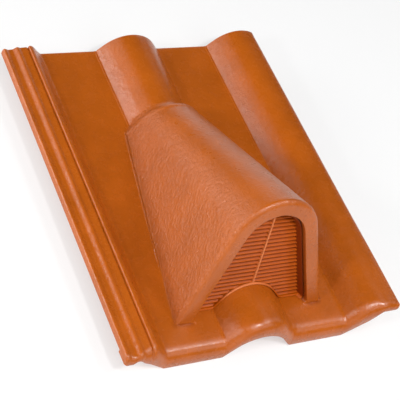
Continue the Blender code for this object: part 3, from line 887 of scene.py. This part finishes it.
concrete, tree, shader = new_material("sprayed_concrete")
place = add_node(tree, "ShaderNodeTexCoord").outputs["Object"]
grain = surface_value(tree, "grain")

clouds = noise(tree, place, per_feature(CLOUD_SIZE), 3.0, 0.55)
colour = ramp(tree, clouds, [(0.32, "#a04d0b"), (0.5, "#a7510d"), (0.68, "#ae550f")])
specks = noise(tree, place, per_feature(SPECK_SIZE), 2.0)
mottled = blend(tree, band(tree, specks, (0.35, 0.65), (0.0, 0.22)), colour, "#b55d19")
# Painted shade: the hood's inner wall and the corner under its front edge are darkened to this colour.
finished = blend(tree, surface_value(tree, "painted_shade"), mottled, "#6e2a0a")

film = noise(tree, place, per_feature(FILM_SIZE), 2.0)
gathered = band(tree, film, (0.3, 0.7), (-0.04, 0.04))
rough = maths(tree, "ADD", maths(tree, "MULTIPLY_ADD", grain, GRAIN_ROUGHNESS, gathered), SMOOTH_ROUGHNESS)

drawn_out = {"Vector": place, "Rotation": (PEEL_SLANT, 0.0, 0.0), "Scale": PEEL_STRETCH}
slanted = add_node(tree, "ShaderNodeMapping", drawn_out, vector_type="TEXTURE").outputs["Vector"]
peel = noise(tree, slanted, per_feature(PEEL_SIZE), 2.5, 0.55)
grit = noise(tree, place, per_feature(GRIT_SIZE), 1.0)
height = maths(tree, "MULTIPLY_ADD", grit, GRIT_PART, maths(tree, "MULTIPLY", peel, PEEL_PART))
dimples = relief(tree, height, maths(tree, "MULTIPLY", grain, RELIEF_STRENGTH), RELIEF_HEIGHT)
fill(tree, shader, {"Base Color": finished, "Roughness": rough, "Normal": dimples, "IOR": 1.5})
print("material:", concrete.name)

# %% Moulded polypropylene
# Coloured through, from a finely blasted mould: a duller, more even surface than the coated concrete, with
# faint flow clouds and a very light skin texture. Its rib and sill bead get a painted highlight, a paler
# colour;
# the frame above the sill and the slats' backs get painted shade, a darker one.
FLOW_SIZE, SKIN_SIZE = 14.0, 1.2
SKIN_STRENGTH, SKIN_HEIGHT = 0.25, 0.15

plastic, tree, shader = new_material("moulded_polypropylene")
place = add_node(tree, "ShaderNodeTexCoord").outputs["Object"]
flow = noise(tree, place, per_feature(FLOW_SIZE), 2.0)
colour = ramp(tree, flow, [(0.3, "#aa4b02"), (0.7, "#b45203")])
# Painted shade darkens the frame above the sill and the slats towards their backs.
shaded = blend(tree, surface_value(tree, "painted_shade"), colour, "#7c2e04")
# A painted highlight pales the rib and the sill bead.
finished = blend(tree, surface_value(tree, "painted_highlight"), shaded, "#d98250")
skin = noise(tree, place, per_feature(SKIN_SIZE), 2.0)
fill(tree, shader, {
    "Base Color": finished, "Roughness": band(tree, skin, (0.3, 0.7), (0.38, 0.46)),
    "Normal": relief(tree, skin, SKIN_STRENGTH, SKIN_HEIGHT), "IOR": 1.49, "Specular IOR Level": 0.2,
})
print("material:", plastic.name)

# %% Sink the casting's surface by its grain
GRAIN_DEPTH, GRAIN_SIZE, LUMP_SIZE = 0.45, 5.0, 16.0
TILE_SHARP = math.radians(38)

tree, given = shape_tree("cast_grain", ["Depth", "Grain size", "Lump size"])
place = add_node(tree, "GeometryNodeInputPosition").outputs["Position"]
fine = noise(tree, place, maths(tree, "DIVIDE", 1.0, given["Grain size"]), 1.0)
lumps = noise(tree, place, maths(tree, "DIVIDE", 1.0, given["Lump size"]), 1.0)
weighed = maths(tree, "MULTIPLY", maths(tree, "ADD", fine, lumps), point_value(tree, "grain"))
sunk = maths(tree, "MULTIPLY", maths(tree, "MULTIPLY", weighed, given["Depth"]), -1.0)
normal = add_node(tree, "GeometryNodeInputNormal").outputs["Normal"]
offset = add_node(tree, "ShaderNodeVectorMath", {0: normal, "Scale": sunk}, operation="SCALE")
shifts = {"Geometry": given["Geometry"], "Offset": offset.outputs["Vector"]}
moved = add_node(tree, "GeometryNodeSetPosition", shifts)
hand_out(tree, moved.outputs["Geometry"], given["Material"])
shape_with(tile, tree, {
    "Depth": GRAIN_DEPTH * MM, "Grain size": GRAIN_SIZE * MM, "Lump size": LUMP_SIZE * MM,
    "Material": concrete,
})
tile.data.shade_smooth()
tile.data.set_sharp_from_angle(angle=TILE_SHARP)
print("grain sunk into", len(tile.data.vertices), "points")

# %% [markdown]
# ## The grille
#
# A plastic tray pressed into the mouth: a slanting flange round the sides and top, a sill along the bottom
# that arches over the roll, sloping slats that keep rain out, and one thin upright rib.

# %% Frame of the grille
PLANE_FRONT = 13.3
GRILLE_THICK = 6.0
PLANE_BACK = PLANE_FRONT + GRILLE_THICK
FLANGE_DEPTH = 6.5
FLANGE_WIDTH = 2.6
FLANGE_LIP = 1.0
GRILLE_SILL = 1.4
LOWEST_SLAT = 3.0
FIT_GAP = 0.4
CUT_SPARE = 10.0
TRIM_X = (-100.0, 95.0, 1.5)
TRIM_END = 150.0


def under_deck(name, gap):
    """A solid up to a gap above the tile's upper side, to trim what stands on it."""
    x = np.arange(*TRIM_X)
    top = np.column_stack([x, deck_height(x, MOUTH_Y + PLANE_FRONT) + gap])
    low = np.column_stack([x, np.full_like(x, -SKIRT_DROP)])[::-1]
    return prism(name, np.concatenate([top, low]), 0.0, TRIM_END)


def tray(name, places):
    """A solid that fits in the hollow, through (distance from the mouth, inset) pairs."""
    return loft(name, [hollow_ring(distance, FIT_GAP + inset) for distance, inset in places])


front = PLANE_FRONT - FLANGE_DEPTH
grille_frame = tray("grille_frame", [(front, 0.0), (PLANE_FRONT, 0.0), (PLANE_BACK, 0.0)])
recess = tray("recess", [(front - CUT_SPARE, FLANGE_LIP), (front, FLANGE_LIP), (PLANE_FRONT, FLANGE_WIDTH)])
window = tray("window", [(PLANE_FRONT - CUT_SPARE, FLANGE_WIDTH), (PLANE_BACK + CUT_SPARE, FLANGE_WIDTH)])
combine(window, [("DIFFERENCE", under_deck("sill", GRILLE_SILL))])
combine(grille_frame, [
    ("DIFFERENCE", under_deck("deck", FIT_GAP)), ("DIFFERENCE", recess), ("DIFFERENCE", window),
])
# Painted shade: above the sill the frame lies in the hood's shade, so it is darkened.
x, y, z = mesh_points(grille_frame.data).T
store(grille_frame.data, "painted_shade", z > deck_height(x, y) + LOWEST_SLAT)
print("grille frame:", len(grille_frame.data.polygons), "faces")

# %% [markdown]
# The slats repeat, so Geometry Nodes make them. One point is placed for each slat, with the slat's length
# stored at it. The tree draws the slat's section from named sizes, runs it along x and puts a copy on each
# point. The slats get painted shade towards the back, where less light reaches them.

# %% Points for the slats
SLAT_PITCH = 5.15
SLOT_HEIGHT = 2.6
SLAT_EMBED = 1.2
LEAST_HALF = 2.0
WINDOW_INSET = FIT_GAP + FLANGE_WIDTH


def hollow_half(z, distance, inset):
    """Half width of the hollow at a height."""
    half, height, radius, lean = hood_size(distance / HOOD_RUN, HOOD_WALL + inset)
    centre = height - radius
    if z < centre + radius * math.sin(lean):
        return half - z * math.tan(lean)
    return math.sqrt(max(0.0, radius**2 - (z - centre) ** 2))


slat_points, slat_lengths = [], []
level = LOWEST_SLAT
while hollow_half(level + SLAT_PITCH / 2, PLANE_FRONT, WINDOW_INSET) > LEAST_HALF:
    slat_points.append((HOOD_X, plane_y(mix(PLANE_FRONT, PLANE_BACK, 0.5), level), level))
    slat_lengths.append(2 * MM * (hollow_half(level, PLANE_FRONT, WINDOW_INSET) + SLAT_EMBED))
    level += SLAT_PITCH
slats = add_mesh("grille_slats", slat_points, [])
store(slats.data, "length", slat_lengths)
print("slats:", len(slat_points))

# %% The tree that draws a slat and copies it
SLAT_SLOPE = math.radians(20)
SLAT_CORNER = 0.8
SHADE_START, SHADE_RUN = 0.9, 2.0

tree, given = shape_tree("sloping_slats", ["Height", "Depth", "Slope", "Corner"])
outline = add_node(tree, "GeometryNodeCurvePrimitiveQuadrilateral", {
    "Width": given["Depth"], "Height": given["Height"],
})
rounded = add_node(tree, "GeometryNodeFilletCurve", {
    "Curve": outline.outputs["Curve"], "Radius": given["Corner"], "Limit Radius": True, "Count": 3,
}, mode="POLY")
line = add_node(tree, "GeometryNodeCurvePrimitiveLine", {"Start": (-0.5, 0.0, 0.0), "End": (0.5, 0.0, 0.0)})
bar = add_node(tree, "GeometryNodeCurveToMesh", {
    "Curve": line.outputs["Curve"], "Profile Curve": rounded.outputs["Curve"], "Fill Caps": True,
})
tilt = add_node(tree, "ShaderNodeCombineXYZ", {"X": given["Slope"]}).outputs["Vector"]
sloped = add_node(tree, "GeometryNodeTransform", {"Geometry": bar.outputs["Mesh"], "Rotation": tilt})
size = add_node(tree, "ShaderNodeCombineXYZ", {"X": point_value(tree, "length"), "Y": 1.0, "Z": 1.0})
copies = add_node(tree, "GeometryNodeInstanceOnPoints", {
    "Points": given["Geometry"], "Instance": sloped.outputs["Geometry"], "Scale": size.outputs["Vector"],
})
hand_out(tree, copies.outputs["Instances"], given["Material"])
shape_with(slats, tree, {
    "Height": (SLAT_PITCH - SLOT_HEIGHT) * MM, "Depth": GRILLE_THICK * MM, "Slope": SLAT_SLOPE,
    "Corner": SLAT_CORNER * MM, "Material": plastic,
})
combine(slats, [("DIFFERENCE", under_deck("deck_again", FIT_GAP))])
x, y, z = mesh_points(slats.data).T
# Painted shade: the slats darken the further they reach behind the grille's front plane.
store(slats.data, "painted_shade", np.maximum(0.0, (y - plane_y(PLANE_FRONT, z) - SHADE_START) / SHADE_RUN))
print("slats drawn:", len(slats.data.polygons), "faces")

# %% Upright rib
RIB_WIDTH = 1.9
RIB_PROUD = 1.2
RIB_FOOT = 1.2
RIB_OVERLAP = 0.8
RIB_TURN_STEPS, RIB_RINGS = 4, 20
RIB_HIGHLIGHT = 0.75


def rib_ring(z):
    """A narrow section with a rounded front, at one height of the leaning plane."""
    half, front_y = RIB_WIDTH / 2, plane_y(PLANE_FRONT - RIB_PROUD, z)
    turns = quarter_turn(RIB_TURN_STEPS)
    right = [(half * math.sin(turn), front_y + half * (1 - math.cos(turn))) for turn in turns]
    right.append((half, plane_y(PLANE_BACK, z)))
    left = [(-x, y) for x, y in reversed(right[1:])]
    return [(HOOD_X + x, y, z) for x, y in right + left]


rib_top = hood_size(PLANE_FRONT / HOOD_RUN, HOOD_WALL + WINDOW_INSET)[1] + RIB_OVERLAP
grille_rib = loft("grille_rib", [rib_ring(z) for z in np.linspace(ROLL_RISE + RIB_FOOT, rib_top, RIB_RINGS)])
# Painted highlight: the rib's colour is paled along its whole length, for the light it catches.
store(grille_rib.data, "painted_highlight", np.full(len(grille_rib.data.vertices), RIB_HIGHLIGHT))
print("rib:", round(rib_top - ROLL_RISE, 1), "mm tall")

# %% Sill bead
# A thin rounded lip runs along the sill's upper edge, over the roll and down to both sides. It gets a painted
# highlight: pale over the roll, where it stands in the light, and as dark as the slats at its ends.
LIP_RADIUS = 1.4
LIP_UP = 1.1
LIP_PROUD = 1.0
LIP_SIDES, LIP_RINGS = 10, 90
HIGHLIGHT_PLACES = [-36.0, -27.0, 4.0, 24.0, 32.0]
HIGHLIGHT_SHARES = [0.0, 0.7, 0.6, 0.3, 0.0]


def lip_ring(x, z):
    middle_y = plane_y(PLANE_FRONT - LIP_PROUD, z)
    turns = [math.tau * step / LIP_SIDES for step in range(LIP_SIDES)]
    return [(x, middle_y + LIP_RADIUS * math.cos(turn), z + LIP_RADIUS * math.sin(turn)) for turn in turns]


sill_half = hollow_half(LIP_UP, PLANE_FRONT, FIT_GAP + LIP_RADIUS)
sill_x = np.linspace(HOOD_X - sill_half, HOOD_X + sill_half, LIP_RINGS)
sill_z = deck_height(sill_x, MOUTH_Y + PLANE_FRONT) + FIT_GAP + LIP_UP
sill_bead = loft("grille_sill_bead", [lip_ring(x, z) for x, z in zip(sill_x, sill_z)])
from_roll = mesh_points(sill_bead.data)[:, 0] - ROLL_X
store(sill_bead.data, "painted_highlight", np.interp(from_roll, HIGHLIGHT_PLACES, HIGHLIGHT_SHARES))
print("sill bead:", round(2 * sill_half, 1), "mm across")

# %% Finish the grille's pieces
GRILLE_SHARP = math.radians(32)
grille_pieces = (grille_frame, slats, grille_rib, sill_bead)
for piece in grille_pieces:
    piece.data.materials.clear()
    piece.data.materials.append(plastic)
    piece.data.shade_smooth()
    piece.data.set_sharp_from_angle(angle=GRILLE_SHARP)
print("grille:", len(grille_pieces), "pieces of", plastic.name)

# %% [markdown]
# ## Studio
#
# A pale floor under softboxes on all sides, as in a light tent. The strongest large ones stand low on the
# left and draw the sheen along the rolls. Three small ones leave the glints on the rounded front edge and on
# the middle roll's left flank.

# %% Floor
FLOOR_HALF = 6000.0
FLOOR_Z = -SKIRT_DROP - 0.2
floor_points = [(x * FLOOR_HALF, y * FLOOR_HALF, FLOOR_Z) for x, y in ((-1, -1), (1, -1), (1, 1), (-1, 1))]
floor = add_mesh("floor", floor_points, [(0, 1, 2, 3)])
paper, tree, shader = new_material("pale_floor")
fill(tree, shader, {
    "Base Color": linear("#a4a4a4"), "Roughness": 0.9,
    "Emission Color": linear("#ffffff"), "Emission Strength": 0.55,
})
floor.data.materials.append(paper)
print("floor:", 2 * FLOOR_HALF * MM, "m wide")

# %% Lights and world
# Each row is a softbox aimed at the tile: its name, azimuth and elevation in degrees, and watts. Azimuth 0 is
# the right side and 270 is the eave end. Sizes and distance are metres.
SOFTBOXES = [
    ("sheen_left_back_low", 150, 12, 21.4), ("left_low", 180, 12, 8.8), ("left_front_low", 240, 12, 3.6),
    ("back_left", 120, 35, 4.5), ("back_left_low", 120, 12, 2.0), ("left_front_high", 240, 60, 9.3),
    ("right_front_high", 330, 60, 5.1), ("front", 270, 35, 3.6), ("front_right", 300, 35, 4.1),
    ("right_high", 0, 60, 3.0), ("right", 0, 30, 2.2), ("back_right_low", 60, 12, 2.6),
]
GLINTS = [("glint_front", 272, 60, 14.0), ("glint_left", 195, 32, 8.0), ("glint_right", 318, 57, 4.0)]
SOFTBOX_SIZE, GLINT_SIZE = (1.0, 0.8), (0.2, 0.2)
SOFTBOX_DISTANCE = 2.0


def looking_back(azimuth, elevation):
    """The way from the tile outwards, for angles in degrees, and the turn that looks back along it."""
    turn, lift = math.radians(azimuth), math.radians(elevation)
    away = Vector((math.cos(lift) * math.cos(turn), math.cos(lift) * math.sin(turn), math.sin(lift)))
    return away, (-away).to_track_quat("-Z", "Y")


def softbox(name, azimuth, elevation, watts, size):
    light = bpy.data.lights.new(name, "AREA")
    light.shape = "RECTANGLE"
    light.size, light.size_y = size
    light.energy = watts
    lamp = add_object(name, light)
    away, looking = looking_back(azimuth, elevation)
    lamp.matrix_world = Matrix.LocRotScale(away * SOFTBOX_DISTANCE, looking, None)


for row in SOFTBOXES:
    softbox(*row, SOFTBOX_SIZE)
for row in GLINTS:
    softbox(*row, GLINT_SIZE)
world = bpy.data.worlds.new("studio")
world.use_nodes = True
background = world.node_tree.nodes["Background"]
fill(world.node_tree, background, {"Color": linear("#ffffff"), "Strength": 0.02})
bpy.context.scene.world = world
bpy.context.scene.view_settings.view_transform = "Standard"
print("softboxes:", len(SOFTBOXES) + len(GLINTS))

# %% Camera at the photograph's angle
# Angles are degrees, the place is in metres, and the lens and its sensor are in millimetres.
CAMERA_AZIMUTH, CAMERA_ELEVATION, CAMERA_ROLL = 225.46, 45.94, 28.64
CAMERA_PLACE = Vector((-0.67835, -0.71107, 1.01848))
LENS, SENSOR = 111.53, 36.0

camera = add_object("camera", bpy.data.cameras.new("camera"))
camera.data.lens = LENS
camera.data.sensor_width = SENSOR
_away, looking = looking_back(CAMERA_AZIMUTH, CAMERA_ELEVATION)
rolled = looking @ Quaternion((0.0, 0.0, 1.0), math.radians(CAMERA_ROLL))
camera.matrix_world = Matrix.LocRotScale(CAMERA_PLACE, rolled, None)
bpy.context.scene.camera = camera
print("camera:", LENS, "mm lens")

# %% Ride, replace and finish
rows = [(tile, "vent_tile", "coated_concrete")]
rows += [(piece, "vent_grille", "moulded_plastic") for piece in grille_pieces]
for piece, node, slot in rows:
    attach(piece, "root")
    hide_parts(node)
    print(piece.name, sum(len(face.vertices) - 2 for face in piece.data.polygons), "triangles")
